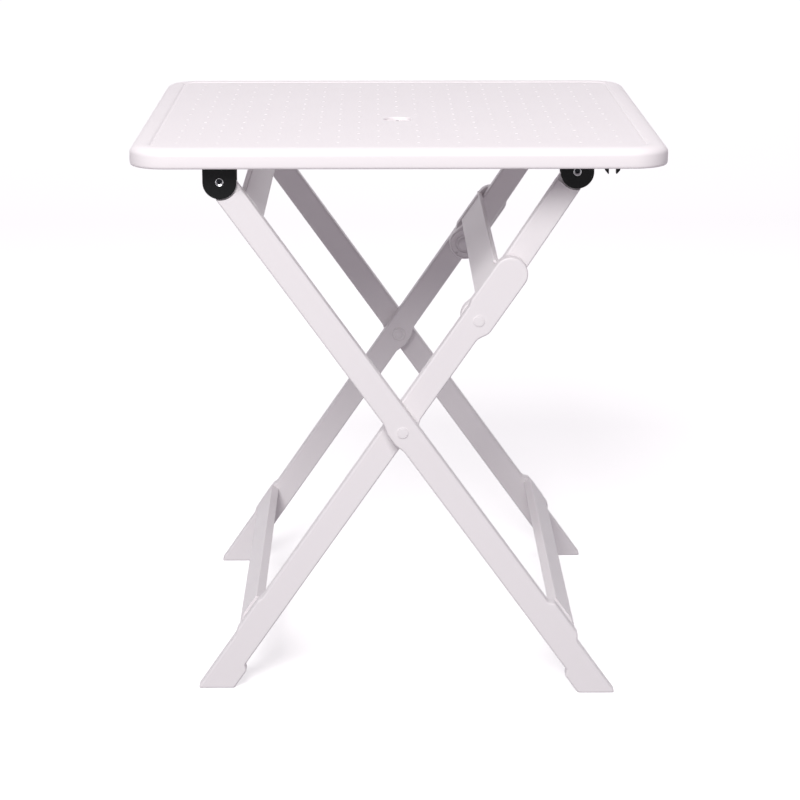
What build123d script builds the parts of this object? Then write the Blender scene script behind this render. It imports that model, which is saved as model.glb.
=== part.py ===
"""Folding resin table: a moulded top on two crossing leg frames, with folding stay arms.

Millimetres.  X runs left to right across the crossing of the legs, Y from front to back, Z up.
The origin is on the floor under the middle of the top.  Every side piece is drawn once for the
front of the table and mirrored in the XZ plane for the back.

Each leg is drawn flat in its own plane: "along" runs down or up the leg from a pivot, and "left"
is square to it.  The legs stand in three layers behind each other: frame A outside, frame B
next to it and the stay arms inside.
"""
from build123d import *
from math import atan2, cos, degrees, hypot, radians, sin
import os

# --- overall sizes -------------------------------------------------------------------------
TOP_SIZE = 651.0            # the square top
TOP_HEIGHT = 705.0          # floor to the crest of the top's border
RIM_DEPTH = 25.0            # depth of the top's skirt
TOP_CORNER = 45.0           # corner radius of the top, seen from above
SHOULDER_DROP = 10.0        # the top's edge falls this much ...
SHOULDER_RUN = 15.0         # ... over this width
RIM_FOOT_RADIUS = 4.0
FIELD_INSET = 25.5          # border width around the sunk field
FIELD_DROP = 1.2
TOP_SKIN = 5.0              # thickness of the deck
SKIRT_WALL = 4.5
RIB_DEPTH = 13.0
RIB_WALL = 3.0
RIB_PITCH = 56.0
RIB_COUNT = 11               # ribs each way
PARASOL_RADIUS = 17.5
PARASOL_Y = -68.0           # the parasol hole is nearer the front edge
PARASOL_COLLAR_WALL = 4.0

# --- layers, measured from the middle plane to a piece's outer face ---------------------------
LEG_THICK = 20.0
LAYER_GAP = 1.5
LAYER_A = 291.5
LAYER_B = LAYER_A - LEG_THICK - LAYER_GAP
LAYER_ARM = LAYER_B - LEG_THICK - LAYER_GAP
EDGE_ROUND = 2.4            # rounding along the edges of the moulded legs

# --- the folding linkage, open position (x, z) -------------------------------------------------
PIVOT_A = (-217.1, 659.0)       # frame A under the top, left
PIVOT_ARM = (219.1, 664.0)      # stay arms under the top, right
PIVOT_CROSS = (4.4, 344.6)      # the two frames cross
KNEE_OVER_CENTRE = 2.0          # the knee rests this far past the straight line
ANGLE_A = -54.34                # direction of frame A's centre line, in degrees from +X

LEG_A_WIDTH = 32.8
LEG_B_WIDTH = 32.4
LEG_B_OFFSET = 4.1              # frame B's centre line lies this far left of its pivots
ARM_WIDTH = 31.0
B_HEAD_RADIUS = 20.5            # rounded upper end of frame B's legs
B_HEAD_ALONG = 237.0
B_HEAD_LEFT = 0.5
B_HEAD_START = 160.0            # the legs widen here
RUNG_EDGE = 22.6                # the legs reach out this far from the axis at a rung
RUNG_RAMP = 7.0

# --- feet ----------------------------------------------------------------------------------
HEEL_OUT = 6.0
HEEL_LENGTH = 28.0
HEEL_RAMP = 6.0
TOE_ROUND = 2.0
HEEL_ROUND = 4.0

# --- pins and bushes -------------------------------------------------------------------------
PIN_RADIUS = 4.0
KNEE_PIN_RADIUS = 5.0
RUNNING_CLEARANCE = 0.05
PIN_HEAD_RADIUS = 6.0
PIN_HEAD_PROUD = 0.8
WASHER_RADIUS = 11.0
WASHER_THICK = 1.2
BUSH_RADIUS = 10.4
BUSH_BORE = 7.0
BUSH_FLANGE = 1.2
BUSH_RING = 1.6
RUNNING_GAP = 0.2
RIVET_RADIUS = 8.0
RIVET_HEIGHT = 1.0

# --- hinge brackets under the top --------------------------------------------------------------
BRACKET_RADIUS = 20.5
BRACKET_WIDTH = 22.0
CHEEK = 4.6
TONGUE = 12.0               # the legs are this thick between the cheeks
TONGUE_RADIUS = 22.5
TONGUE_NOTCH = 21.5
BRACKET_PLATE = 4.0
BRACKET_TOP = 686.0
BRACKET_EAR = 23.0          # half the plate's length along Y
SCREW_OFFSET = 17.0
SCREW_RADIUS = 2.0
SCREW_HEAD_RADIUS = 3.6
SCREW_HEAD_HEIGHT = 2.0
SCREW_LENGTH = 13.0
COUNTERBORE_RADIUS = 5.2
COUNTERBORE_DEPTH = 2.0
HEAD_RADIUS = 5.0
HEAD_HEIGHT = 1.6
HEX_RECESS_RADIUS = 2.4
HEX_RECESS_DEPTH = 1.0

# --- rungs ---------------------------------------------------------------------------------
RUNG_WALL = 3.5
RUNG_FLANGE = 10.0
RUNG_CROWN = 2.6            # the rungs' plates stand this far proud of the legs' edges
RUNG_FALL = 4.5             # the plate slopes down this much towards the foot ...
RUNG_SLOPE = 18.0           # ... over this width
TENON_DEPTH = 8.0
TENON_THICK = 5.0
TENON_MARGIN = 7.0
UPPER_RUNG = (71.0, 30.0, 16.4)         # along at the foot side, along at the other side, leg's edge
LOWER_RUNG_A = (730.0, 680.0, RUNG_EDGE)
LOWER_RUNG_B = (-338.0, -292.0, RUNG_EDGE)
KNEE_RUNG = (189.0, 238.0)
KNEE_RUNG_FACE = 21.2
KNEE_RUNG_WALL = 2.9
KNEE_LIP = 5.0
ARM_HEAD_RADIUS = 22.0      # round head of the stay arm at the knee
ARM_HEAD_BLEND = 5.0
ARM_HOLE = (-16.8, 3.2)     # small blind hole in the arm's inner face, from the knee
ARM_HOLE_RADIUS = 2.0
ARM_HOLE_DEPTH = 6.0
LUG_REACH = 17.0            # each leg swells this far from the crossing pin
LUG_CREST = 8.0
LUG_BASE = 22.0
LUG_ROUND = 14.0
B_HEAD_BLEND = 14.0
END_FLAT = 0.2              # what is left flat at the tip of a rounded end

# --- snap clips that hold frame B when folded -----------------------------------------------------
STUD_ALONG = -94.6
STUD_LEFT = -9.0
STUD_RADIUS = 4.0
STUD_LENGTH = 11.0
FOLD_ANGLE = 54.6           # frame A turns this far from open to folded
CLIP_WIDTH = 9.0
CLIP_INSIDE = 4.5           # half the gap between the jaws
CLIP_OUTSIDE = 9.4          # half their width over all ...
CLIP_TIP_OUTSIDE = 5.4      # ... and at their tips
CLIP_BARB_RISE = 1.0        # the jaws narrow from this far above the stud ...
CLIP_TIP_DROP = 3.7         # ... to this far below it
CLIP_BASE = (34.0, 14.0, 4.0)


ON_BASE = (Align.CENTER, Align.CENTER, Align.MIN)


def distance(p, q):
    return hypot(p[0] - q[0], p[1] - q[1])


def heading(p, q):
    """Direction from p to q in degrees."""
    return degrees(atan2(q[1] - p[1], q[0] - p[0]))


def knee_position():
    """The knee that lets the four pivots fold onto one line, set a little past straight."""
    reach = distance(PIVOT_CROSS, PIVOT_ARM)
    surplus = distance(PIVOT_A, PIVOT_ARM) - distance(PIVOT_A, PIVOT_CROSS)
    first = (reach - surplus) / 2
    ux = (PIVOT_ARM[0] - PIVOT_CROSS[0]) / reach
    uz = (PIVOT_ARM[1] - PIVOT_CROSS[1]) / reach
    return (PIVOT_CROSS[0] + first * ux + KNEE_OVER_CENTRE * uz,
            PIVOT_CROSS[1] + first * uz - KNEE_OVER_CENTRE * ux)


KNEE = knee_position()
ANGLE_B = heading(PIVOT_CROSS, KNEE)
ANGLE_ARM = heading(KNEE, PIVOT_ARM)
LENGTH_B = distance(PIVOT_CROSS, KNEE)
LENGTH_ARM = distance(KNEE, PIVOT_ARM)
LENGTH_A = distance(PIVOT_A, PIVOT_CROSS)


def local(pivot, angle, point):
    """(along, left) of an (x, z) point in a leg's own plane."""
    dx, dz = point[0] - pivot[0], point[1] - pivot[1]
    c, s = cos(radians(angle)), sin(radians(angle))
    return dx * c + dz * s, -dx * s + dz * c


def world(pivot, angle, along, left):
    """(x, z) of a point given in a leg's own plane."""
    c, s = cos(radians(angle)), sin(radians(angle))
    return pivot[0] + along * c - left * s, pivot[1] + along * s + left * c


def floor_along(pivot, angle, left):
    """How far along a leg the floor is met at a given distance from its axis."""
    return -(pivot[1] + left * cos(radians(angle))) / sin(radians(angle))


def leg_plane(pivot, angle, outer, thick):
    """Drawing plane on a front piece's inner face; it is extruded towards the front."""
    turn = radians(angle)
    return Plane(origin=(pivot[0], -outer + thick, pivot[1]),
                 x_dir=(cos(turn), 0, sin(turn)), z_dir=(0, -1, 0))


def rounded_outline(points):
    """Closed face through (along, left, radius) corners."""
    wire = Polyline(*[(p[0], p[1]) for p in points], close=True)
    face = make_face(wire.edges())
    for along, left, radius in points:
        if radius:
            corner = face.vertices().sort_by_distance((along, left, 0))[0]
            face = fillet(corner, radius)
    return face


def slab(face, pivot, angle, outer):
    """A leg's flat moulding of the given outline, with its long edges rounded."""
    solid = extrude(face, LEG_THICK, dir=(0, 0, 1))
    rims = solid.edges().group_by(Axis.Z)
    solid = fillet(rims[0] + rims[-1], EDGE_ROUND)
    return leg_plane(pivot, angle, outer, LEG_THICK) * solid


def cylinder_y(x, z, radius, y_from, y_to):
    """Round bar along Y between two depths."""
    low, high = min(y_from, y_to), max(y_from, y_to)
    bar = Cylinder(radius, high - low)
    return Pos(x, (low + high) / 2, z) * Rot(90, 0, 0) * bar


def block(x, y, z):
    """Box between pairs of bounds."""
    return Pos(sum(x) / 2, sum(y) / 2, sum(z) / 2) * Box(x[1] - x[0], y[1] - y[0], z[1] - z[0])


def local_block(pivot, angle, along, left, y):
    """Box in a leg's own directions; y holds two depths."""
    plane = leg_plane(pivot, angle, 0, 0)
    centre = Pos(sum(along) / 2, sum(left) / 2, -sum(y) / 2)
    return plane * centre * Box(along[1] - along[0], left[1] - left[0], abs(y[1] - y[0]))


def one(shape):
    """The single solid of a result."""
    solids = shape.solids()
    assert len(solids) == 1, len(solids)
    return solids[0]


def back_of(solid):
    """The matching piece at the back of the table."""
    return mirror(solid, about=Plane.XZ)


# --- tabletop ------------------------------------------------------------------------------
def rounded_block(size, corner, z_low, z_high):
    return Pos(0, 0, z_low) * extrude(RectangleRounded(size, size, corner), z_high - z_low)


def tabletop():
    """Deck and skirt in one moulding, with a sunk field, stiffening ribs and a parasol hole."""
    low = TOP_HEIGHT - RIM_DEPTH
    under = TOP_HEIGHT - TOP_SKIN
    body = rounded_block(TOP_SIZE, TOP_CORNER, low, TOP_HEIGHT)
    crown = body.faces().sort_by(Axis.Z)[-1]
    body = chamfer(crown.edges(), SHOULDER_RUN, SHOULDER_DROP, reference=crown)
    body = fillet(body.faces().sort_by(Axis.Z)[0].edges(), RIM_FOOT_RADIUS)
    field = TOP_SIZE - 2 * FIELD_INSET
    body -= rounded_block(field, TOP_CORNER - FIELD_INSET / 2, TOP_HEIGHT - FIELD_DROP, TOP_HEIGHT + 1)
    cavity = TOP_SIZE - 2 * SKIRT_WALL
    shoulder_step = SHOULDER_RUN - SKIRT_WALL + TOP_SKIN
    body -= rounded_block(cavity, TOP_CORNER - SKIRT_WALL, low - 1, under - SHOULDER_DROP)
    body -= rounded_block(cavity - 2 * shoulder_step, TOP_CORNER - SHOULDER_RUN, low - 1, under)
    half = RIB_WALL / 2
    shoulder_top = under - SHOULDER_DROP + 1
    reaches = ((cavity / 2, shoulder_top), (cavity / 2 - shoulder_step, under))
    for index in range(RIB_COUNT):
        place = (index - (RIB_COUNT - 1) / 2) * RIB_PITCH
        for span, top in reaches:
            depth = (under - RIB_DEPTH, top)
            body += block((place - half, place + half), (-span, span), depth)
            body += block((-span, span), (place - half, place + half), depth)
    for x, y in bracket_places():
        body += block((x - BRACKET_RADIUS, x + BRACKET_RADIUS),
                      (y - BRACKET_EAR, y + BRACKET_EAR), (BRACKET_TOP, under))
        for side in (-1, 1):
            pilot = Cylinder(SCREW_RADIUS, SCREW_LENGTH - BRACKET_PLATE, align=ON_BASE)
            body -= Pos(x, y + side * SCREW_OFFSET, BRACKET_TOP) * pilot
    for x, y in clip_places():
        body += block((x - CLIP_BASE[0] / 2, x + CLIP_BASE[0] / 2),
                      (y - CLIP_BASE[1] / 2, y + CLIP_BASE[1] / 2), (BRACKET_TOP, under))
    collar = Cylinder(PARASOL_RADIUS + PARASOL_COLLAR_WALL, RIM_DEPTH - TOP_SKIN)
    body += Pos(0, PARASOL_Y, (low + under) / 2) * collar
    body -= Pos(0, PARASOL_Y, TOP_HEIGHT - RIM_DEPTH / 2) * Cylinder(PARASOL_RADIUS, 2 * RIM_DEPTH)
    return one(body)


# --- hinge brackets and their hardware -----------------------------------------------------------
def bracket_y(layer):
    """Depth of a bracket's middle plane, front side."""
    return -layer + LEG_THICK / 2


def bracket_places():
    """Middle of each bracket, seen from above."""
    for x, layer in ((PIVOT_A[0], LAYER_A), (PIVOT_ARM[0], LAYER_ARM)):
        for side in (1, -1):
            yield x, side * bracket_y(layer)


def hinge_bracket(pivot, layer):
    """Clevis of a screwed plate and two round-ended cheeks, with a recess for each pin end."""
    x, z = pivot
    y = bracket_y(layer)
    half = BRACKET_WIDTH / 2
    body = cylinder_y(x, z, BRACKET_RADIUS, y - half, y + half)
    body += block((x - BRACKET_RADIUS, x + BRACKET_RADIUS), (y - half, y + half), (z, BRACKET_TOP))
    slot = half - CHEEK
    body -= block((x - 2 * BRACKET_RADIUS, x + 2 * BRACKET_RADIUS), (y - slot, y + slot),
                  (z - 2 * BRACKET_RADIUS, BRACKET_TOP - BRACKET_PLATE))
    body += block((x - BRACKET_RADIUS, x + BRACKET_RADIUS), (y - BRACKET_EAR, y + BRACKET_EAR),
                  (BRACKET_TOP - BRACKET_PLATE, BRACKET_TOP))
    body -= cylinder_y(x, z, PIN_RADIUS, y - half - 1, y + half + 1)
    for side in (-1, 1):
        recess = y + side * (half - COUNTERBORE_DEPTH)
        body -= cylinder_y(x, z, COUNTERBORE_RADIUS, recess, y + side * (half + 1))
        body -= Pos(x, y + side * SCREW_OFFSET, BRACKET_TOP) * Cylinder(SCREW_RADIUS, 3 * BRACKET_PLATE)
    return one(body)


def hinge_pin(pivot, layer):
    """Shouldered pin across a bracket, with a hexagon recess at its outer end."""
    x, z = pivot
    y = bracket_y(layer)
    seat = BRACKET_WIDTH / 2 - COUNTERBORE_DEPTH
    body = cylinder_y(x, z, PIN_RADIUS, y - seat, y + seat)
    for side in (-1, 1):
        body += cylinder_y(x, z, HEAD_RADIUS, y + side * seat, y + side * (seat + HEAD_HEIGHT))
    recess = extrude(RegularPolygon(HEX_RECESS_RADIUS, 6), HEX_RECESS_DEPTH)
    face = Plane(origin=(x, y - seat - HEAD_HEIGHT, z), x_dir=(1, 0, 0), z_dir=(0, 1, 0))
    return one(body - face * recess)


def bracket_screws():
    """The pan-head screws that hold the brackets up, as one group."""
    screws = []
    base = BRACKET_TOP - BRACKET_PLATE
    for x, y in bracket_places():
        for side in (-1, 1):
            shank = Cylinder(SCREW_RADIUS, SCREW_LENGTH, align=ON_BASE)
            head = Cylinder(SCREW_HEAD_RADIUS, SCREW_HEAD_HEIGHT, align=ON_BASE)
            head = Pos(0, 0, -SCREW_HEAD_HEIGHT) * head
            screws.append(one(Pos(x, y + side * SCREW_OFFSET, base) * (shank + head)))
    return Compound(children=screws)


# --- frame A ---------------------------------------------------------------------------------
def pin_bore(pivot, layer, radius):
    return cylinder_y(pivot[0], pivot[1], radius, -layer - 1, -layer + LEG_THICK + 1)


def tongue_cuts(pivot, angle, along, layer):
    """Cuts that thin a leg's end between a bracket's cheeks; along holds the pivot's and the corner's place.

    The disc clears the bracket's round end, and the squared notch its corner when folded.
    """
    depth = (LEG_THICK - TONGUE) / 2
    span = (min(along), max(along))
    for y_from, y_to in ((-layer - 1, -layer + depth), (-layer + LEG_THICK - depth, -layer + LEG_THICK + 1)):
        place = world(pivot, angle, along[0], 0)
        yield cylinder_y(*place, TONGUE_RADIUS, y_from, y_to)
        yield local_block(pivot, angle, span, (0, 2 * TONGUE_RADIUS), (y_from, y_to))


def foot_points(pivot, angle, toe_left, heel_left):
    """Corners of a foot: heel step, heel, toe.  The sole lies on the floor."""
    step_left = heel_left - HEEL_OUT
    toe = floor_along(pivot, angle, toe_left)
    heel = floor_along(pivot, angle, step_left)
    way = 1 if toe > 0 else -1
    return [(heel - way * (HEEL_LENGTH + HEEL_RAMP), heel_left, HEEL_ROUND),
            (heel - way * HEEL_LENGTH, step_left, TOE_ROUND),
            (heel, step_left, HEEL_ROUND), (toe, toe_left, TOE_ROUND)]


def lug_points(pivot, edge, direction):
    """Corners of the swelling on a leg's lower edge that surrounds the crossing pin."""
    along, left = pivot
    reach = left - LUG_REACH
    base = direction * LUG_BASE
    crest = direction * LUG_CREST
    return [(along - base, edge, LUG_ROUND), (along - crest, reach, LUG_ROUND),
            (along + crest, reach, LUG_ROUND), (along + base, edge, LUG_ROUND)]


def leg_a():
    """Outer leg, from the left bracket down to the right foot."""
    half = LEG_A_WIDTH / 2
    cross = local(PIVOT_A, ANGLE_A, PIVOT_CROSS)
    end, start, edge = LOWER_RUNG_A
    points = [(-half, -half, half - END_FLAT), *lug_points(cross, -half, 1),
              *foot_points(PIVOT_A, ANGLE_A, half, -half),
              (end + RUNG_RAMP, half, RUNG_RAMP), (end, edge, RUNG_RAMP),
              (start, edge, RUNG_RAMP), (start - RUNG_RAMP, half, RUNG_RAMP),
              (-half, half, half - END_FLAT)]
    body = slab(rounded_outline(points), PIVOT_A, ANGLE_A, LAYER_A)
    for cut in tongue_cuts(PIVOT_A, ANGLE_A, (0, TONGUE_NOTCH), LAYER_A):
        body -= cut
    body -= pin_bore(PIVOT_A, LAYER_A, PIN_RADIUS + RUNNING_CLEARANCE)
    body -= pin_bore(PIVOT_CROSS, LAYER_A, PIN_RADIUS)
    body -= tenon(PIVOT_A, ANGLE_A, UPPER_RUNG, LAYER_A)
    body -= tenon(PIVOT_A, ANGLE_A, LOWER_RUNG_A, LAYER_A)
    return one(body)


# --- frame B ---------------------------------------------------------------------------------
def leg_b():
    """Middle leg, from the left foot past the crossing to a rounded head beside the knee."""
    low, high = LEG_B_OFFSET - LEG_B_WIDTH / 2, LEG_B_OFFSET + LEG_B_WIDTH / 2
    end, start, edge = LOWER_RUNG_B
    head_low = B_HEAD_LEFT - B_HEAD_RADIUS
    head_end = B_HEAD_ALONG + B_HEAD_RADIUS
    head_round = B_HEAD_RADIUS - END_FLAT
    knee_start = KNEE_RUNG[0] - RUNG_RAMP
    points = [*foot_points(PIVOT_CROSS, ANGLE_B, high, low),
              (end - RUNG_RAMP, high, RUNG_RAMP), (end, edge, RUNG_RAMP), (start, edge, RUNG_RAMP),
              (start + RUNG_RAMP, high, RUNG_RAMP), (knee_start - RUNG_RAMP, high, RUNG_RAMP),
              (knee_start, edge, RUNG_RAMP), (head_end, edge, head_round), (head_end, head_low, head_round),
              (B_HEAD_START, head_low, B_HEAD_BLEND), (B_HEAD_START - B_HEAD_BLEND, low, B_HEAD_BLEND),
              *lug_points((0, 0), low, -1)]
    body = slab(rounded_outline(points), PIVOT_CROSS, ANGLE_B, LAYER_B)
    body -= pin_bore(KNEE, LAYER_B, KNEE_PIN_RADIUS)
    body -= pin_bore(PIVOT_CROSS, LAYER_B, BUSH_BORE)
    body -= tenon(PIVOT_CROSS, ANGLE_B, LOWER_RUNG_B, LAYER_B)
    body -= knee_tenon()
    body -= stud_root()
    return one(body)


def knee_tenon():
    """The part of the knee rung that sits in the front leg."""
    start, end = KNEE_RUNG
    face = -LAYER_B + LEG_THICK
    return local_block(PIVOT_CROSS, ANGLE_B, (start + TENON_MARGIN, end - TENON_MARGIN),
                       (KNEE_RUNG_FACE - KNEE_RUNG_WALL, KNEE_RUNG_FACE), (face - TENON_DEPTH, face))


def knee_rung():
    """Flat rung across the heads of frame B: the arms lock against it, and its lip is pulled to fold."""
    start, end = KNEE_RUNG
    inner = LAYER_B - LEG_THICK
    under = KNEE_RUNG_FACE - KNEE_RUNG_WALL
    width = (-inner, inner)
    body = local_block(PIVOT_CROSS, ANGLE_B, (start, end), (under, KNEE_RUNG_FACE), width)
    lip = (under, KNEE_RUNG_FACE + KNEE_LIP)
    body += local_block(PIVOT_CROSS, ANGLE_B, (end - KNEE_RUNG_WALL, end), lip, width)
    return one(body + knee_tenon() + back_of(knee_tenon()))


# --- rungs of both frames ----------------------------------------------------------------------
def tenon(pivot, angle, rung, layer):
    """Flat tongue at a rung's front end, sunk into the leg's inner face."""
    low, high = min(rung[:2]), max(rung[:2])
    face = -layer + LEG_THICK
    top = rung[2] - RUNG_WALL - RUNG_FALL
    return local_block(pivot, angle, (low + TENON_MARGIN, high - TENON_MARGIN), (top - TENON_THICK, top),
                       (face - TENON_DEPTH, face))


def channel_rung(pivot, angle, rung, layer, crown):
    """Rung of channel section with closed ends and a tenon at each end.

    It runs from its outer flange (nearest the foot) to its inner flange; the plate between them
    slopes down by RUNG_FALL at the foot side.
    """
    outer_end, inner_end, edge = rung
    way = 1 if inner_end > outer_end else -1
    top = edge + crown
    low = edge - RUNG_FLANGE
    slope = way * RUNG_SLOPE
    wall = way * RUNG_WALL
    section = [(outer_end, low), (outer_end, top - RUNG_FALL), (outer_end + slope, top), (inner_end, top),
               (inner_end, low), (inner_end - wall, low), (inner_end - wall, top - RUNG_WALL),
               (outer_end + slope, top - RUNG_WALL), (outer_end + wall, top - RUNG_FALL - RUNG_WALL),
               (outer_end + wall, low)]
    inner = layer - LEG_THICK
    face = make_face(Polyline(*section, close=True).edges())
    body = leg_plane(pivot, angle, inner, 2 * inner) * extrude(face, 2 * inner, dir=(0, 0, 1))
    web = [(outer_end, low), (outer_end, top - RUNG_FALL), (outer_end + slope, top), (inner_end, top),
           (inner_end, low)]
    web_face = make_face(Polyline(*web, close=True).edges())
    front_web = leg_plane(pivot, angle, inner, RUNG_WALL) * extrude(web_face, RUNG_WALL, dir=(0, 0, 1))
    front_end = front_web + tenon(pivot, angle, rung, layer)
    return one(body + front_end + back_of(front_end))


# --- stay arms -----------------------------------------------------------------------------
def arm():
    """Inner stay from the knee up to the right bracket, with a larger round head at the knee."""
    half = ARM_WIDTH / 2
    neck = ARM_HEAD_RADIUS + ARM_HEAD_BLEND
    far = LENGTH_ARM + half
    head_round = ARM_HEAD_RADIUS - END_FLAT
    points = [(-ARM_HEAD_RADIUS, -ARM_HEAD_RADIUS, head_round),
              (ARM_HEAD_BLEND / 2, -ARM_HEAD_RADIUS, 0), (neck, -half, ARM_HEAD_BLEND),
              (far, -half, half - END_FLAT), (far, half, half - END_FLAT), (neck, half, ARM_HEAD_BLEND),
              (ARM_HEAD_BLEND / 2, ARM_HEAD_RADIUS, 0), (-ARM_HEAD_RADIUS, ARM_HEAD_RADIUS, head_round)]
    body = slab(rounded_outline(points), KNEE, ANGLE_ARM, LAYER_ARM)
    for cut in tongue_cuts(KNEE, ANGLE_ARM, (LENGTH_ARM, LENGTH_ARM - TONGUE_NOTCH), LAYER_ARM):
        body -= cut
    body -= pin_bore(PIVOT_ARM, LAYER_ARM, PIN_RADIUS + RUNNING_CLEARANCE)
    body -= pin_bore(KNEE, LAYER_ARM, KNEE_PIN_RADIUS + RUNNING_CLEARANCE)
    inner = -LAYER_ARM + LEG_THICK
    body -= cylinder_y(*world(KNEE, ANGLE_ARM, *ARM_HOLE), ARM_HOLE_RADIUS, inner - ARM_HOLE_DEPTH, inner + 1)
    return one(body)


# --- crossing and knee hardware ------------------------------------------------------------------
def crossing_pin():
    """Headed pin in frame A's leg at the crossing, flush with the leg's inner face."""
    x, z = PIVOT_CROSS
    body = cylinder_y(x, z, PIN_RADIUS, -LAYER_A, -LAYER_A + LEG_THICK)
    return one(body + cylinder_y(x, z, PIN_HEAD_RADIUS, -LAYER_A - PIN_HEAD_PROUD, -LAYER_A))


def crossing_washer():
    """Spacer between the two frames at the crossing, pressed on the pin's leg."""
    x, z = PIVOT_CROSS
    face = -LAYER_A + LEG_THICK
    return one(cylinder_y(x, z, WASHER_RADIUS, face, face + WASHER_THICK))


def crossing_bush():
    """Flanged bush in frame B's leg at the crossing, with the riveted pin end in its middle."""
    x, z = PIVOT_CROSS
    face = -LAYER_B + LEG_THICK
    body = cylinder_y(x, z, BUSH_BORE, -LAYER_B, face)
    body += cylinder_y(x, z, BUSH_RADIUS, face, face + BUSH_FLANGE)
    ring = cylinder_y(x, z, BUSH_RADIUS - BUSH_RING, face + BUSH_FLANGE / 2, face + BUSH_FLANGE)
    return one(body - ring + cylinder_y(x, z, PIN_HEAD_RADIUS, face, face + BUSH_FLANGE))


def knee_pin():
    """Headed pin through frame B's leg and the stay arm, riveted over inside the arm."""
    x, z = KNEE
    inner = -LAYER_ARM + LEG_THICK
    body = cylinder_y(x, z, KNEE_PIN_RADIUS, -LAYER_B, inner + RUNNING_GAP)
    body += cylinder_y(x, z, PIN_HEAD_RADIUS, -LAYER_B - PIN_HEAD_PROUD, -LAYER_B)
    return one(body + cylinder_y(x, z, RIVET_RADIUS, inner + RUNNING_GAP, inner + RUNNING_GAP + RIVET_HEIGHT))


def knee_washer():
    """Spacer on the knee pin between frame B's leg and the stay arm."""
    x, z = KNEE
    face = -LAYER_B + LEG_THICK
    body = cylinder_y(x, z, WASHER_RADIUS, face, face + WASHER_THICK)
    return one(body - cylinder_y(x, z, KNEE_PIN_RADIUS, face - 1, face + WASHER_THICK + 1))


# --- snap clips and studs ----------------------------------------------------------------------
def stud_place():
    """Open position (x, z) of the stud on frame B's leg."""
    return world(PIVOT_CROSS, ANGLE_B, STUD_ALONG, STUD_LEFT)


def stud_root():
    x, z = stud_place()
    face = -LAYER_B + LEG_THICK
    return cylinder_y(x, z, STUD_RADIUS, face - TENON_DEPTH, face)


def catch_stud():
    """Peg on the inner face of frame B's leg that the clip under the top grips when folded."""
    x, z = stud_place()
    face = -LAYER_B + LEG_THICK
    return one(stud_root() + cylinder_y(x, z, STUD_RADIUS, face, face + STUD_LENGTH))


def folded_linkage():
    """Folded directions, in degrees, of frame B and the stay arms, and the crossing's place."""
    turn = radians(heading(PIVOT_A, PIVOT_CROSS) + FOLD_ANGLE)
    cross = (PIVOT_A[0] + LENGTH_A * cos(turn), PIVOT_A[1] + LENGTH_A * sin(turn))
    reach = distance(cross, PIVOT_ARM)
    cosine = (LENGTH_B ** 2 + reach ** 2 - LENGTH_ARM ** 2) / (2 * LENGTH_B * reach)
    bend = degrees(atan2((1 - cosine ** 2) ** 0.5, cosine))
    frame_b = heading(cross, PIVOT_ARM) + bend
    knee = world(cross, frame_b, LENGTH_B, 0)
    return frame_b, heading(knee, PIVOT_ARM), cross


def clip_centre():
    """Where the stud comes to rest when the table is folded: x, depth of the clip, z."""
    frame_b, _, cross = folded_linkage()
    x, z = world(cross, frame_b, STUD_ALONG, STUD_LEFT)
    return x, -LAYER_B + LEG_THICK + LAYER_GAP + CLIP_WIDTH / 2, z


def clip_places():
    x, y, _ = clip_centre()
    return (x, y), (x, -y)


def snap_clip():
    """Two sprung jaws on a plate under the top; they close in towards their tips."""
    x, y, z = clip_centre()
    half = CLIP_WIDTH / 2
    tip = z - CLIP_TIP_DROP
    base = BRACKET_TOP - CLIP_BASE[2]
    body = block((x - CLIP_BASE[0] / 2, x + CLIP_BASE[0] / 2), (y - CLIP_BASE[1] / 2, y + CLIP_BASE[1] / 2),
                 (base, BRACKET_TOP))
    for side in (-1, 1):
        inside = side * CLIP_INSIDE
        outside = side * CLIP_OUTSIDE
        jaw = [(inside, base), (outside, base), (outside, z + CLIP_BARB_RISE),
               (side * CLIP_TIP_OUTSIDE, tip), (inside, tip)]
        face = make_face(Polyline(*jaw, close=True).edges())
        plane = Plane(origin=(x, y + half, 0), x_dir=(1, 0, 0), z_dir=(0, -1, 0))
        body += plane * extrude(face, CLIP_WIDTH, dir=(0, 0, 1))
    return one(body)


# --- the whole table -----------------------------------------------------------------------
def pieces():
    """Every node's name and shape."""
    yield "tabletop", tabletop()
    yield "bracket_screws", bracket_screws()
    yield "frame_a_upper_rung", channel_rung(PIVOT_A, ANGLE_A, UPPER_RUNG, LAYER_A, 0)
    yield "frame_a_lower_rung", channel_rung(PIVOT_A, ANGLE_A, LOWER_RUNG_A, LAYER_A, RUNG_CROWN)
    yield "frame_b_lower_rung", channel_rung(PIVOT_CROSS, ANGLE_B, LOWER_RUNG_B, LAYER_B, RUNG_CROWN)
    yield "knee_rung", knee_rung()
    fronts = {
        "hinge_bracket_left": hinge_bracket(PIVOT_A, LAYER_A),
        "hinge_bracket_right": hinge_bracket(PIVOT_ARM, LAYER_ARM),
        "hinge_pin_left": hinge_pin(PIVOT_A, LAYER_A),
        "hinge_pin_right": hinge_pin(PIVOT_ARM, LAYER_ARM),
        "leg_a": leg_a(),
        "leg_b": leg_b(),
        "stay_arm": arm(),
        "crossing_pin": crossing_pin(),
        "crossing_washer": crossing_washer(),
        "crossing_bush": crossing_bush(),
        "knee_pin": knee_pin(),
        "knee_washer": knee_washer(),
        "catch_stud": catch_stud(),
        "snap_clip": snap_clip(),
    }
    for name, front in fronts.items():
        yield name + "_front", front
        yield name + "_back", back_of(front)


def main():
    os.makedirs("parts", exist_ok=True)
    for name, shape in pieces():
        export_step(shape, f"parts/{name}.step")


if __name__ == "__main__":
    main()
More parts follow.
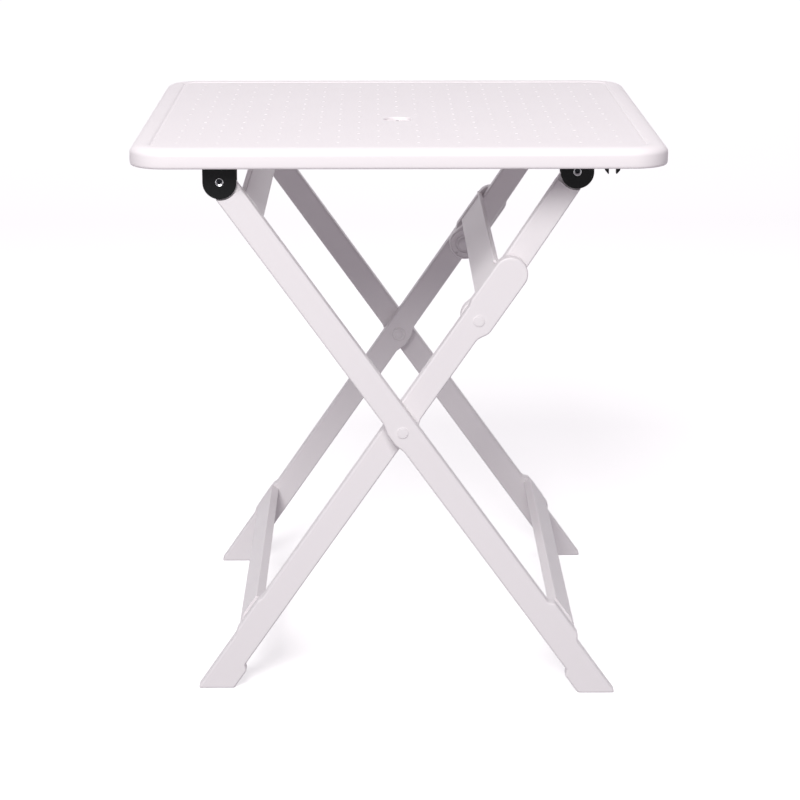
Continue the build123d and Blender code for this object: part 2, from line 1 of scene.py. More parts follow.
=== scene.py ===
"""Looks of a folding resin table: a moulded top, two crossing leg frames and folding stay arms.

Lengths are metres in the table's own frame: X across the crossing of the legs, Y from front to
back, Z up, with the origin on the floor under the middle of the top.
"""
import math

import bmesh
import bpy
import numpy as np
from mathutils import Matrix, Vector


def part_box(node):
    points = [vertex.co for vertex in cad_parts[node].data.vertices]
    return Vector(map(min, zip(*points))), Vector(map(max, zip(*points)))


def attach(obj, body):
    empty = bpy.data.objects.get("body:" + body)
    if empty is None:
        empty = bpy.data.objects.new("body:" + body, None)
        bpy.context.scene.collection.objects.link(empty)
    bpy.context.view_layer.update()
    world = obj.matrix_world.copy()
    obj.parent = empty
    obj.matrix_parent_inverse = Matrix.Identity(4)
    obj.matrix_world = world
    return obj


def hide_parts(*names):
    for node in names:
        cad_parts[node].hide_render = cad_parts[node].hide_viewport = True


bl_info = {
    "name": "Folding resin table",
    "version": (1, 0, 0),
    "blender": (4, 5, 0),
    "location": "View3D > Sidebar > Folding table",
    "description": "Moulded surfaces, hardware and finishes of a folding resin table",
    "category": "Add Mesh",
}

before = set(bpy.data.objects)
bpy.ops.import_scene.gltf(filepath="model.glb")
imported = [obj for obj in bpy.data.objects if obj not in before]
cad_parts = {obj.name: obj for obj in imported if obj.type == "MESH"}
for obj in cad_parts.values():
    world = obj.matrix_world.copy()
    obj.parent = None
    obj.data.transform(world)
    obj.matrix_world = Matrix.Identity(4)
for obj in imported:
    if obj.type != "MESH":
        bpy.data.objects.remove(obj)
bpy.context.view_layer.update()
MM = 0.001
ENDS = ("front", "back")

TOP_LOW, TOP_HIGH = (list(corner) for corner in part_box("tabletop"))
TOP_HALF = TOP_HIGH[0]
TOP_Z = TOP_HIGH[2]
RIM_Z = TOP_LOW[2]


# --- small helpers ------------------------------------------------------------------------
def settings():
    return bpy.context.scene.folding_table


def middle_of(node):
    """Middle of a CAD node's box."""
    low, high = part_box(node)
    return np.array([(a + b) / 2 for a, b in zip(low, high)])


def colour(hex_value):
    """sRGB hex to the linear colour that a shader socket takes."""
    channels = [int(hex_value[i:i + 2], 16) / 255 for i in (1, 3, 5)]
    linear = [c / 12.92 if c <= 0.04045 else ((c + 0.055) / 1.055) ** 2.4 for c in channels]
    return (*linear, 1.0)


def add_object(name, points, faces, material, body=None, smooth=True):
    """A mesh object at the origin made of computed points; it rides on a body of the table."""
    mesh = bpy.data.meshes.new(name)
    mesh.from_pydata(points.tolist(), [], [list(map(int, f)) for f in faces])
    mesh.update()
    if smooth:
        mesh.polygons.foreach_set("use_smooth", np.ones(len(mesh.polygons), bool))
    mesh.materials.append(material)
    obj = bpy.data.objects.new(name, mesh)
    bpy.context.scene.collection.objects.link(obj)
    if body is not None:
        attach(obj, body)
    return obj


def grid_faces(rows, columns, closed_rows=False, closed_columns=True):
    """Quads of a grid of points in row order; a closed direction joins its last line to its first."""
    i = np.arange(rows if closed_rows else rows - 1)[:, None]
    j = np.arange(columns if closed_columns else columns - 1)[None, :]
    next_i = (i + 1) % rows
    next_j = (j + 1) % columns
    quads = np.stack([i * columns + j, i * columns + next_j,
                      next_i * columns + next_j, next_i * columns + j], -1)
    return quads.reshape(-1, 4)


def join_parts(parts):
    """Joins (points, faces) pairs into one pair."""
    points = []
    faces = []
    offset = 0
    for part_points, part_faces in parts:
        points.append(part_points)
        faces.extend([[int(v) + offset for v in face] for face in part_faces])
        offset += len(part_points)
    return np.concatenate(points), faces


def turned_rings(profile, x, z, segments):
    """Rings of points of a profile turned about a line along Y through (x, z).

    The point at parameters (t, a) is the profile's radius r(t) times (cos a, sin a) in X and Z,
    at the profile's depth y(t).
    """
    profile = np.asarray(profile, float)
    turn = np.linspace(0, 2 * math.pi, segments, endpoint=False)
    radius = profile[:, 0][:, None]
    depth = np.broadcast_to(profile[:, 1][:, None], (len(profile), segments))
    return np.stack([x + radius * np.cos(turn), depth, z + radius * np.sin(turn)], -1).reshape(-1, 3)


def turned(profile, x, z, segments=48):
    """A turned solid: its profile runs from the axis to the axis, and one polygon closes each end."""
    faces = [list(f) for f in grid_faces(len(profile), segments)]
    last = (len(profile) - 1) * segments
    faces.append(list(range(segments))[::-1])
    faces.append(list(range(last, last + segments)))
    return turned_rings(profile, x, z, segments), faces


def band(profile, x, z, segments=64):
    """A turned ring: its profile is a closed loop of (radius, depth) off the axis."""
    return turned_rings(profile, x, z, segments), grid_faces(len(profile), segments, closed_rows=True)


def outward(obj):
    """Merges doubled points and turns the faces outwards."""
    made = bmesh.new()
    made.from_mesh(obj.data)
    bmesh.ops.remove_doubles(made, verts=made.verts, dist=1e-6)
    bmesh.ops.recalc_face_normals(made, faces=made.faces)
    made.to_mesh(obj.data)
    made.free()
    return obj


def softened_copy(name, node, body, material, width, lengthwise=False):
    """A CAD node's moulding with its sharp edges rounded to the given radius.

    With lengthwise set, only the edges that run along Y are rounded, so that the ends stay
    closed against their neighbours.
    """
    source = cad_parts[node]
    mesh = source.data.copy()
    mesh.name = name
    mesh.materials.clear()
    mesh.materials.append(material)
    made = bmesh.new()
    made.from_mesh(mesh)
    bmesh.ops.remove_doubles(made, verts=made.verts, dist=2e-6)
    bmesh.ops.dissolve_limit(made, angle_limit=math.radians(0.6), verts=made.verts, edges=made.edges)
    weights = made.edges.layers.float.new("bevel_weight_edge")
    for edge in made.edges:
        run = (edge.verts[1].co - edge.verts[0].co).normalized()
        sharp = edge.calc_face_angle(0) > math.radians(32)
        rounded = sharp and (abs(run.y) > 0.9 or not lengthwise)
        edge[weights] = float(rounded)
        edge.smooth = rounded or not sharp
    made.to_mesh(mesh)
    made.free()
    if "custom_normal" in mesh.attributes:
        mesh.attributes.remove(mesh.attributes["custom_normal"])
    mesh.polygons.foreach_set("use_smooth", np.ones(len(mesh.polygons), bool))
    obj = bpy.data.objects.new(name, mesh)
    bpy.context.scene.collection.objects.link(obj)
    bevel = obj.modifiers.new("Rounded edges", "BEVEL")
    bevel.width = width
    bevel.segments = 3
    bevel.limit_method = "WEIGHT"
    bevel.harden_normals = True
    bevel.use_clamp_overlap = True
    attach(obj, body)
    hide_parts(node)
    return obj


# --- materials -----------------------------------------------------------------------------
def add_node(tree, kind, place, inputs=None, links=None, **values):
    """Adds a shader node with its properties, its socket values and its incoming links."""
    node = tree.nodes.new(kind)
    node.location = place
    for name, value in values.items():
        setattr(node, name, value)
    for name, value in (inputs or {}).items():
        node.inputs[name].default_value = value
    for name, socket in (links or {}).items():
        tree.links.new(socket, node.inputs[name])
    return node


def start_material(name, base, roughness, metallic=0.0, specular=0.5, ior=None):
    """A named material with its plain Principled values set."""
    material = bpy.data.materials.new(name)
    material.use_nodes = True
    shader = material.node_tree.nodes["Principled BSDF"]
    shader.inputs["Base Color"].default_value = base
    shader.inputs["Roughness"].default_value = roughness
    shader.inputs["Metallic"].default_value = metallic
    shader.inputs["Specular IOR Level"].default_value = specular
    if ior is not None:
        shader.inputs["IOR"].default_value = ior
    return material, shader


def add_grain(material, shader, grain, depth, spread):
    """Fine moulded grain of the given width, with a slow wander in its gloss over a hand's width."""
    tree = material.node_tree
    where = add_node(tree, "ShaderNodeTexCoord", (-1000, 0))
    grains = add_node(tree, "ShaderNodeTexNoise", (-760, -240),
                      {"Scale": 1 / grain, "Detail": 3.0, "Roughness": 0.55},
                      {"Vector": where.outputs["Object"]})
    bump = add_node(tree, "ShaderNodeBump", (-320, -260), {"Strength": 0.35, "Distance": depth},
                    {"Height": grains.outputs["Fac"]})
    tree.links.new(bump.outputs["Normal"], shader.inputs["Normal"])
    wander = add_node(tree, "ShaderNodeTexNoise", (-760, 120), {"Scale": 1 / 0.07, "Detail": 2.0},
                      {"Vector": where.outputs["Object"]})
    low = shader.inputs["Roughness"].default_value - spread
    high = shader.inputs["Roughness"].default_value + spread
    gloss = add_node(tree, "ShaderNodeMapRange", (-320, 120), {"To Min": low, "To Max": high},
                     {"Value": wander.outputs["Fac"]})
    tree.links.new(gloss.outputs["Result"], shader.inputs["Roughness"])


def top_resin():
    """Polypropylene, moulded in a fine-grained tool: bright warm white, with a broad soft sheen."""
    name = "Polypropylene moulded warm white"
    if name in bpy.data.materials:
        return bpy.data.materials[name]
    material, shader = start_material(name, tuple(settings().top_colour), 0.42, specular=0.45, ior=1.49)
    # grain of 1.4 mm: the real one is finer, and is drawn as coarse as it needs to show
    add_grain(material, shader, 1.4 * MM, 0.05 * MM, 0.05)
    return material


def leg_resin():
    """Filled polypropylene of the legs, moulded smooth: white with a faint mauve cast, satin."""
    name = "Polypropylene moulded satin white"
    if name in bpy.data.materials:
        return bpy.data.materials[name]
    material, shader = start_material(name, tuple(settings().leg_colour), 0.38, specular=0.45, ior=1.49)
    # flow marks of 2.5 mm, far softer than the top's grain
    add_grain(material, shader, 2.5 * MM, 0.03 * MM, 0.04)
    return material


def black_nylon():
    """Polyamide 6, glass-filled and moulded: deep black with a slightly dusty satin face."""
    name = "Polyamide glass-filled black"
    if name in bpy.data.materials:
        return bpy.data.materials[name]
    material, shader = start_material(name, tuple(settings().bracket_colour), 0.5, specular=0.14, ior=1.53)
    # spark-eroded tool texture, 0.8 mm
    add_grain(material, shader, 0.8 * MM, 0.04 * MM, 0.06)
    return material


def zinc_steel():
    """Steel, zinc plated and passivated: pale grey metal with a soft bright edge."""
    name = "Steel zinc plated"
    if name in bpy.data.materials:
        return bpy.data.materials[name]
    material, shader = start_material(name, colour("#C9CACC"), 0.28, metallic=1.0)
    # drawn wire marks, 0.5 mm
    add_grain(material, shader, 0.5 * MM, 0.01 * MM, 0.05)
    return material


def black_steel():
    """Steel, black oxide: near black with a dull metallic sheen."""
    name = "Steel black oxide"
    if name in bpy.data.materials:
        return bpy.data.materials[name]
    material, shader = start_material(name, colour("#1E1F22"), 0.45, metallic=1.0)
    # etched surface, 0.5 mm
    add_grain(material, shader, 0.5 * MM, 0.01 * MM, 0.05)
    return material


def dress(node, material):
    """Gives a CAD node its material."""
    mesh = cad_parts[node].data
    mesh.materials.clear()
    mesh.materials.append(material)


# --- tabletop -----------------------------------------------------------------------------
SIDE_STEPS = 26
CORNER_STEPS = 14
SKIRT_WALL = 4.5 * MM
DECK_UNDER = TOP_Z - 5 * MM
SUNK = 0.4 * MM
HOLE_RADIUS = 17.5 * MM
HOLE_COLLAR = 21.5 * MM
HOLE_Y = -68 * MM
FIELD_Z = TOP_Z - 1.2 * MM
FIELD_HALF = 300 * MM
BORDER = TOP_HALF - FIELD_HALF
STUD_REACH = TOP_HALF - 44 * MM
STUD_CLEAR = 34 * MM


def rounded_square(half, corner):
    """Points round a square with rounded corners, the same number for every size.

    Each quarter is a straight side followed by a quarter circle of radius corner about the point
    (half - corner, half - corner); the four quarters are turned copies of it.
    """
    flat = half - corner
    along = np.linspace(-flat, flat, SIDE_STEPS, endpoint=False)
    side = np.stack([np.full_like(along, half), along], -1)
    turn = np.linspace(0, math.pi / 2, CORNER_STEPS, endpoint=False)
    arc = np.stack([flat + corner * np.cos(turn), flat + corner * np.sin(turn)], -1)
    quarter = np.concatenate([side, arc])
    turned_quarters = []
    for c, s in ((1, 0), (0, 1), (-1, 0), (0, -1)):
        turned_quarters.append(np.stack([quarter[:, 0] * c - quarter[:, 1] * s,
                                         quarter[:, 0] * s + quarter[:, 1] * c], -1))
    return np.concatenate(turned_quarters)


def hole_ring(radius):
    """Points round the parasol hole, each facing the matching point of the outer outline."""
    outer = rounded_square(TOP_HALF, settings().corner_radius)
    away = np.arctan2(outer[:, 1] - HOLE_Y, outer[:, 0])
    return np.stack([radius * np.cos(away), HOLE_Y + radius * np.sin(away)], -1)


def deck_shell():
    """The top's closed skin as rings of points, from the hole over the deck and rim to the underside.

    On the deck, rim and skirt a ring is the outline drawn in by an inset d at a height z.  The
    shoulder is a quarter ellipse: d = run (1 - cos t), z = foot + rise sin t.  Deck insets are
    counted from the border's inner edge.  The rings at the hole are circles, and the last ring
    joins the first down the hole's wall.
    """
    run = settings().shoulder_run
    rise = settings().shoulder_rise
    corner = settings().corner_radius
    foot = TOP_Z - rise
    t = np.linspace(0, math.pi / 2, 13)
    shoulder = list(zip(run * (1 - np.cos(t)), foot + rise * np.sin(t)))[::-1]
    groove = settings().groove_depth
    deck = [(16, FIELD_Z), (3.6, FIELD_Z), (2.6, FIELD_Z - 0.1 * MM), (1.6, FIELD_Z - 0.5 * groove),
            (0.9, FIELD_Z - groove), (-0.1, FIELD_Z - groove), (-0.8, FIELD_Z - 0.5 * groove),
            (-1.5, TOP_Z - 0.75 * MM), (-2.8, TOP_Z - 0.35 * MM), (-6, TOP_Z - 0.1 * MM)]
    skirt = [(0, RIM_Z + 4 * MM), (0.3, RIM_Z + 2.2 * MM), (1.0, RIM_Z + 0.8 * MM), (2.1, RIM_Z + 0.1 * MM),
             (2.9, RIM_Z + 0.1 * MM), (3.9, RIM_Z + 0.8 * MM), (4.5, RIM_Z + 2 * MM), (4.5, RIM_Z + 8 * MM),
             (7, RIM_Z + 11 * MM), (14, RIM_Z + 16.4 * MM), (21, DECK_UNDER - 0.3 * MM), (23, DECK_UNDER)]
    wall_top = [(BORDER + d * MM, z) for d, z in deck] + shoulder
    outline = wall_top + [(d * MM, z) for d, z in skirt]
    rings = []
    for radius, z in ((HOLE_RADIUS, FIELD_Z - 1.2 * MM), (HOLE_RADIUS + 0.35 * MM, FIELD_Z - 0.35 * MM),
                      (HOLE_RADIUS + 1.2 * MM, FIELD_Z), (HOLE_RADIUS + 2.4 * MM, FIELD_Z)):
        rings.append((hole_ring(radius), z))
    for inset, z in outline:
        rings.append((rounded_square(TOP_HALF - inset, max(corner - inset, 12 * MM)), z))
    for radius, z in ((HOLE_COLLAR + 2 * MM, DECK_UNDER), (HOLE_COLLAR, DECK_UNDER - 1.5 * MM),
                      (HOLE_COLLAR, RIM_Z + 0.8 * MM), (HOLE_COLLAR - 0.8 * MM, RIM_Z),
                      (HOLE_RADIUS + 0.8 * MM, RIM_Z), (HOLE_RADIUS, RIM_Z + 0.8 * MM)):
        rings.append((hole_ring(radius), z))
    points = np.concatenate([np.column_stack([xy, np.full(len(xy), z)]) for xy, z in rings])
    return points, grid_faces(len(rings), len(rings[0][0]), closed_rows=True)


def tapered_bar(x, y, z, draw):
    """A box between bounds x, y and z, drawn in at its top by draw along X and Y."""
    corners = []
    for height, inset in ((z[0], (0, 0)), (z[1], draw)):
        for sx, sy in ((0, 0), (1, 0), (1, 1), (0, 1)):
            corners.append((x[sx] + (inset[0] if sx == 0 else -inset[0]),
                            y[sy] + (inset[1] if sy == 0 else -inset[1]), height))
    faces = [(3, 2, 1, 0), (4, 5, 6, 7), (0, 1, 5, 4), (1, 2, 6, 5), (2, 3, 7, 6), (3, 0, 4, 7)]
    return np.array(corners), faces


def underside_ribs():
    """The lattice of ribs under the deck; each rib's top is drawn in by a slope at its ends."""
    count = 11
    pitch = 56 * MM
    half = 1.5 * MM
    slope = 16 * MM
    low = DECK_UNDER - 13 * MM
    high = DECK_UNDER + SUNK
    reach = TOP_HALF - SKIRT_WALL + 0.3 * MM
    parts = []
    for index in range(count):
        place = (index - (count - 1) / 2) * pitch
        ends = (-reach, reach)
        sides = (place - half, place + half)
        parts.append(tapered_bar(sides, ends, (low, high), (0, slope)))
        parts.append(tapered_bar(ends, sides, (low, high), (slope, 0)))
    return join_parts(parts)


def screw_pads():
    """Blocks under the deck that the brackets and clips are screwed to, as wide as each of them."""
    parts = []
    holders = [f"hinge_bracket_{side}_{end}" for side in ("left", "right") for end in ENDS]
    for node in holders + [f"snap_clip_{end}" for end in ENDS]:
        low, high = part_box(node)
        parts.append(tapered_bar((low[0], high[0]), (low[1], high[1]), (high[2], DECK_UNDER + SUNK), (0, 0)))
    return join_parts(parts)


def field_studs():
    """Raised grip studs over the sunk field, in a staggered lattice.

    Each stud is a low dome: rings of radius r cos t at height h sin t over a short foot, closed
    above and below by polygons.  The lattice is x = i p, y = j p and the same shifted by half a pitch.
    """
    pitch = settings().stud_pitch
    radius = settings().stud_radius
    count = int(STUD_REACH / pitch)
    base = np.arange(-count, count + 1) * pitch
    shifted_count = int(STUD_REACH / pitch + 0.5)
    shifted = (np.arange(-shifted_count, shifted_count) + 0.5) * pitch
    places = np.concatenate([np.stack(np.meshgrid(base, base), -1).reshape(-1, 2),
                             np.stack(np.meshgrid(shifted, shifted), -1).reshape(-1, 2)])
    places = places[np.hypot(places[:, 0], places[:, 1] - HOLE_Y) > STUD_CLEAR]
    segments = 10
    turn = np.linspace(0, 2 * math.pi, segments, endpoint=False)
    height = settings().stud_height
    rings = ((radius, -0.3 * MM), (radius, 0.05 * MM), (radius * 0.82, 0.6 * height), (radius * 0.42, height))
    one = np.concatenate([np.column_stack([r * np.cos(turn), r * np.sin(turn),
                                           np.full(segments, FIELD_Z + z)]) for r, z in rings])
    sides = grid_faces(len(rings), segments)
    caps = [np.arange(segments)[::-1], np.arange(segments) + (len(rings) - 1) * segments]
    shift = np.column_stack([places, np.zeros(len(places))])
    points = (shift[:, None, :] + one[None, :, :]).reshape(-1, 3)
    starts = (np.arange(len(places)) * len(one))[:, None, None]
    faces = (starts + sides[None]).reshape(-1, 4).tolist()
    for cap in caps:
        faces.extend((starts[:, :, 0] + cap[None]).tolist())
    return points, faces


# --- hardware ------------------------------------------------------------------------------
def turned_from_face(steps, node, face_y, way):
    """A turned piece from (radius, height) steps in millimetres, standing out of a face along way."""
    middle = middle_of(node)
    profile = [(max(radius, 0.02) * MM, face_y + way * height * MM) for radius, height in steps]
    return turned(profile, middle[0], middle[2])


def ringed_head(node, face_y, way, radius, rise, valley):
    """A riveted head inside a raised ring, with a narrow valley between them.

    The ring is a rounded bead at the outer radius, and inside the valley the head's height falls
    from rise at its middle as a shallow dome.  All are in millimetres.
    """
    dome = 0.8 * radius if radius < 9 else 0.64 * radius
    steps = [(0, -0.5), (radius, -0.5), (radius, 0.6 * rise), (radius - 0.25, 0.9 * rise),
             (radius - 0.6, rise), (radius - 0.95, 0.9 * rise), (radius - 1.1, valley), (dome + 0.05, valley),
             (dome - 0.1, 0.8 * rise + 0.2 * valley), (dome - 0.6, 0.95 * rise), (0.4 * dome, rise),
             (0, rise)]
    return turned_from_face(steps, node, face_y, way)


def knee_boss(node, face_y, way, rise):
    """The raised rim round the stay arm's pivot: a thin bead turned about the knee pin."""
    steps = [(15.0, -0.5), (21.0, -0.5), (21.0, 0.5 * rise), (20.6, 0.9 * rise), (19.8, rise),
             (19.2, 0.85 * rise), (19.0, 0.0), (19.0, -0.4), (15.0, -0.4)]
    middle = middle_of(node)
    profile = [(radius * MM, face_y + way * height * MM) for radius, height in steps]
    return band(profile, middle[0], middle[2])


# --- operators ------------------------------------------------------------------------------
class TabletopOperator(bpy.types.Operator):
    """Makes the moulded top with its rim, groove, parasol hole, ribs and screw pads"""
    bl_idname = "folding_table.tabletop"
    bl_label = "Tabletop"

    def execute(self, context):
        points, faces = deck_shell()
        shell = outward(add_object("Tabletop_shell", points, faces, top_resin(), "top"))
        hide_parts("tabletop")
        for name, (points, faces) in (("Tabletop_ribs", underside_ribs()), ("Tabletop_pads", screw_pads())):
            piece = outward(add_object(name, points, faces, top_resin(), "top", smooth=False))
        return {"FINISHED"}


class StudsOperator(bpy.types.Operator):
    """Makes the grip studs over the top's sunk field"""
    bl_idname = "folding_table.studs"
    bl_label = "Grip studs"

    def execute(self, context):
        points, faces = field_studs()
        studs = outward(add_object("Tabletop_studs", points, faces, top_resin(), "top"))
        return {"FINISHED"}


class LegsOperator(bpy.types.Operator):
    """Gives the legs and stay arms their resin finish"""
    bl_idname = "folding_table.legs"
    bl_label = "Legs and stay arms"

    def execute(self, context):
        for end in ENDS:
            for node in ("leg_a", "leg_b", "stay_arm", "catch_stud"):
                dress(f"{node}_{end}", leg_resin())
        return {"FINISHED"}


class RungsOperator(bpy.types.Operator):
    """Makes the four rungs with the soft edges of mouldings"""
    bl_idname = "folding_table.rungs"
    bl_label = "Rungs"

    def execute(self, context):
        rungs = {"frame_a_upper_rung": "leg_frame_a", "frame_a_lower_rung": "leg_frame_a",
                 "frame_b_lower_rung": "leg_frame_b", "knee_rung": "leg_frame_b"}
        for node, body in rungs.items():
            rung = softened_copy(f"Rung_{node}", node, body, leg_resin(), settings().rung_edge,
                                 lengthwise=True)
        return {"FINISHED"}


class BracketsOperator(bpy.types.Operator):
    """Makes the black hinge brackets and snap clips under the top"""
    bl_idname = "folding_table.brackets"
    bl_label = "Hinge brackets and clips"

    def execute(self, context):
        for end in ENDS:
            for node in (f"hinge_bracket_left_{end}", f"hinge_bracket_right_{end}", f"snap_clip_{end}"):
                piece = softened_copy(f"Moulded_{node}", node, "top", black_nylon(), settings().bracket_edge)
        return {"FINISHED"}


class HardwareOperator(bpy.types.Operator):
    """Makes the pin heads and pivot bosses, and finishes the pins, washers and screws"""
    bl_idname = "folding_table.hardware"
    bl_label = "Pins, bushes and screws"

    def execute(self, context):
        for end, way in (("front", -1), ("back", 1)):
            for node in ("crossing_pin", "knee_pin"):
                dress(f"{node}_{end}", leg_resin())
            for node in ("crossing_washer", "knee_washer"):
                dress(f"{node}_{end}", black_nylon())
            for side in ("left", "right"):
                self.hinge_pin(f"hinge_pin_{side}_{end}", way)
            outer = self.face(f"leg_a_{end}", way)
            self.add("Crossing_head_" + end, self.rivet(f"crossing_pin_{end}", outer, way), "leg_frame_a")
            outer = self.face(f"leg_b_{end}", way)
            self.add("Knee_head_" + end, self.rivet(f"knee_pin_{end}", outer, way), "leg_frame_b")
            self.bush(end, way)
            inner = self.face(f"stay_arm_{end}", -way)
            self.add("Knee_rim_" + end, knee_boss(f"knee_pin_{end}", inner, -way, 1.3), f"stay_arm_{end}")
            self.add("Knee_hub_" + end, ringed_head(f"knee_pin_{end}", inner, -way, 13.6, 1.8, 0.1),
                     "leg_frame_b")
        dress("bracket_screws", zinc_steel())
        return {"FINISHED"}

    def rivet(self, node, face_y, way):
        return ringed_head(node, face_y, way, settings().ring_radius / MM, 1.15, 0.82)

    def face(self, node, way):
        """Depth of a node's outer face on the side that way points to."""
        low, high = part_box(node)
        return low[1] if way < 0 else high[1]

    def add(self, name, shape, body):
        piece = outward(add_object(name, *shape, leg_resin(), body))

    def bush(self, end, way):
        """A flanged bush: a flat flange with a bead round it on the leg's inner face, and its shank."""
        node = f"crossing_bush_{end}"
        inner = self.face(f"leg_b_{end}", -way)
        shank = abs(self.face(node, way) - inner) / MM
        steps = [(0, 1.1), (4.6, 1.1), (5.2, 0.9), (5.5, 0.3), (8.3, 0.3), (8.6, 0.9), (9.1, 1.35),
                 (9.8, 1.35), (10.3, 0.9), (10.4, 0.4), (10.4, 0.0), (7.0, 0.0), (7.0, -shank), (0, -shank)]
        shape = turned_from_face(steps, node, inner, -way)
        bush = outward(add_object("Turned_" + node, *shape, leg_resin(), "leg_frame_b"))
        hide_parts(node)

    def hinge_pin(self, node, way):
        """A hinge pin with a coned recess in its outer end, and a painted highlight round the recess: a
        ring of bright zinc, wider below, that stands in for the light caught on the recess's lower wall.

        The ring's inner rings are circles too, with their middle raised by lift, which widens it below.
        """
        low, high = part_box(node)
        length = (high[1] - low[1]) / MM
        outer = self.face(node, way)
        steps = [(0, -1.3), (3.0, -1.3), (4.5, -0.15), (4.7, 0), (4.95, -0.2), (5.0, -0.5), (5.0, -1.6),
                 (4.0, -1.6), (4.0, 1.6 - length), (5.0, 1.6 - length), (5.0, 0.4 - length), (4.6, -length),
                 (0, -length)]
        shape = turned_from_face(steps, node, outer, way)
        pin = outward(add_object("Turned_" + node, *shape, black_steel(), "top"))
        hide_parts(node)
        # Painted highlight: a bright zinc ring round the recess, off centre so that it is wider below, in
        # place of the light caught on the recess's lower wall.
        steps = ((2.6, -1.25), (3.5, -1.0), (4.5, 0.1), (4.7, 0.12), (4.9, 0.0), (4.9, -0.5))
        profile = [(radius * MM, outer + way * height * MM) for radius, height in steps]
        middle = middle_of(node)
        points, faces = band(profile, middle[0], middle[2])
        lift = 0.9 * MM
        deep = 0.9 * MM
        inner_rings = points[:, 1] * way < outer * way - deep
        points[inner_rings, 2] += lift
        edge = outward(add_object("Painted_highlight_" + node, points, faces, zinc_steel(), "top"))


class StageOperator(bpy.types.Operator):
    """Makes the pale floor, the soft studio light and the camera"""
    bl_idname = "folding_table.stage"
    bl_label = "Stage"

    def execute(self, context):
        scene = context.scene
        paper, shader = start_material("Acrylic opal matt white", colour("#FAF9F9"), 0.95, specular=0.0)
        shader.inputs["Emission Color"].default_value = colour("#FFFFFF")
        shader.inputs["Emission Strength"].default_value = settings().floor_glow
        sweep = np.linspace(0, math.pi / 2, 32)
        bend = np.column_stack([3.0 + 2 * np.sin(sweep), 2 - 2 * np.cos(sweep)])
        line = np.concatenate([[(-7.0, 0.0)], bend, [(5.0, 8.0)]])
        across = np.array([-9.0, 9.0])
        points = np.array([(x, y, z) for y, z in line for x in across])
        floor = add_object("Floor", points, grid_faces(len(line), 2, closed_columns=False), paper)
        floor.visible_diffuse = False
        for name, place, aim, size, power in (
                ("Key softbox", (-0.8, -3.9, 3.35), (0, 0, 0.35), 2.4, settings().key_light),
                ("Overhead softbox", (0.3, 0.4, 4.2), (0, 0, 0), 2.4, settings().overhead_light)):
            light = bpy.data.lights.new(name, "AREA")
            light.shape = "DISK"
            light.size = size
            light.energy = power
            lamp = bpy.data.objects.new(name, light)
            lamp.location = place
            lamp.rotation_euler = aim_rotation(np.array(aim, float) - np.array(place, float))
            scene.collection.objects.link(lamp)
        world = bpy.data.worlds.new("Studio")
        world.use_nodes = True
        world.node_tree.nodes["Background"].inputs["Color"].default_value = tuple(settings().room_colour)
        world.node_tree.nodes["Background"].inputs["Strength"].default_value = settings().room_light
        scene.world = world
        scene.view_settings.view_transform = "Standard"
        lens = bpy.data.cameras.new("Camera")
        lens.sensor_width = 36
        lens.lens = 111.99
        camera = bpy.data.objects.new("Camera", lens)
        camera.location = (-0.028385, -3.267964, 1.160954)
        camera.rotation_euler = (math.pi / 2 - 0.254372, 0, -0.009908)
        scene.collection.objects.link(camera)
        scene.camera = camera
        return {"FINISHED"}


def aim_rotation(way):
    """Euler angles that turn a lamp's -Z axis to a direction."""
    flat = math.hypot(way[0], way[1])
    return (math.atan2(flat, -way[2]), 0, math.atan2(way[1], way[0]) - math.pi / 2)


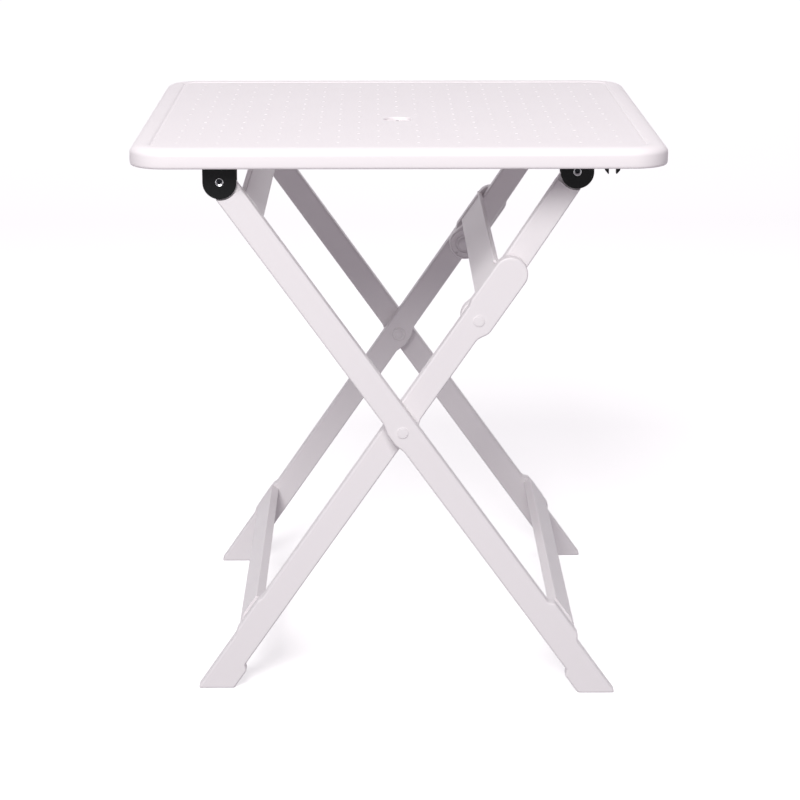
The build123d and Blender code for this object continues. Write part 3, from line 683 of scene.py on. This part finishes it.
# --- settings, panel, registration -------------------------------------------------------------
class FoldingTableSettings(bpy.types.PropertyGroup):
    """Sizes and colours of the table's looks"""
    shoulder_run: bpy.props.FloatProperty(
        name="Shoulder width", description="Width of the rounded shoulder along the top's edge",
        default=16 * MM, unit="LENGTH")
    shoulder_rise: bpy.props.FloatProperty(
        name="Shoulder height", description="Height of the rounded shoulder above the rim",
        default=10 * MM, unit="LENGTH")
    corner_radius: bpy.props.FloatProperty(
        name="Corner radius", description="Radius of the top's corners seen from above",
        default=45 * MM, unit="LENGTH")
    groove_depth: bpy.props.FloatProperty(
        name="Groove depth", description="Depth of the groove round the field below the field",
        default=1.0 * MM, unit="LENGTH")
    stud_pitch: bpy.props.FloatProperty(
        name="Stud pitch", description="Distance between grip studs in a row", default=49 * MM, unit="LENGTH")
    stud_radius: bpy.props.FloatProperty(
        name="Stud radius", description="Radius of a grip stud", default=2.0 * MM, unit="LENGTH")
    stud_height: bpy.props.FloatProperty(
        name="Stud height", description="Height of a grip stud above the field",
        default=0.5 * MM, unit="LENGTH")
    ring_radius: bpy.props.FloatProperty(
        name="Pin ring radius", description="Outer radius of the ring round a pin's head",
        default=7.0 * MM, unit="LENGTH")
    rung_edge: bpy.props.FloatProperty(
        name="Rung edge", description="Rounding of the rungs' edges", default=1.2 * MM, unit="LENGTH")
    bracket_edge: bpy.props.FloatProperty(
        name="Bracket edge", description="Rounding of the brackets' edges", default=0.8 * MM, unit="LENGTH")
    top_colour: bpy.props.FloatVectorProperty(
        name="Top colour", description="Colour of the top's resin", default=colour("#F4EFF0"),
        size=4, min=0, max=1, subtype="COLOR")
    leg_colour: bpy.props.FloatVectorProperty(
        name="Leg colour", description="Colour of the legs' resin", default=colour("#EBE7E8"),
        size=4, min=0, max=1, subtype="COLOR")
    bracket_colour: bpy.props.FloatVectorProperty(
        name="Bracket colour", description="Colour of the brackets' plastic", default=colour("#0B0C0D"),
        size=4, min=0, max=1, subtype="COLOR")
    room_light: bpy.props.FloatProperty(
        name="Room light", description="Strength of the studio's even light", default=0.32, min=0)
    room_colour: bpy.props.FloatVectorProperty(
        name="Room colour", description="Colour of the studio's even light", default=colour("#FAF0FC"),
        size=4, min=0, max=1, subtype="COLOR")
    key_light: bpy.props.FloatProperty(
        name="Key light", description="Power of the softbox above and in front",
        default=200.0, min=0, unit="POWER")
    overhead_light: bpy.props.FloatProperty(
        name="Overhead light", description="Power of the softbox above the table",
        default=20.0, min=0, unit="POWER")
    floor_glow: bpy.props.FloatProperty(
        name="Floor glow", description="How strongly the opal floor is lit from below", default=0.52, min=0)


OPERATORS = (TabletopOperator, StudsOperator, LegsOperator, RungsOperator, BracketsOperator, HardwareOperator,
             StageOperator)


class FoldingTablePanel(bpy.types.Panel):
    """Lists the table's pieces"""
    bl_idname = "VIEW3D_PT_folding_table"
    bl_label = "Folding table"
    bl_space_type = "VIEW_3D"
    bl_region_type = "UI"
    bl_category = "Folding table"

    def draw(self, context):
        column = self.layout.column()
        for name in FoldingTableSettings.__annotations__:
            column.prop(context.scene.folding_table, name)
        for operator in OPERATORS:
            column.operator(operator.bl_idname)


CLASSES = (FoldingTableSettings, *OPERATORS, FoldingTablePanel)


def register():
    for item in CLASSES:
        bpy.utils.register_class(item)
    bpy.types.Scene.folding_table = bpy.props.PointerProperty(type=FoldingTableSettings)


def unregister():
    del bpy.types.Scene.folding_table
    for item in reversed(CLASSES):
        bpy.utils.unregister_class(item)


def main():
    register()
    bpy.ops.folding_table.tabletop()
    bpy.ops.folding_table.studs()
    bpy.ops.folding_table.legs()
    bpy.ops.folding_table.rungs()
    bpy.ops.folding_table.brackets()
    bpy.ops.folding_table.hardware()
    bpy.ops.folding_table.stage()


if __name__ == "__main__":
    main()
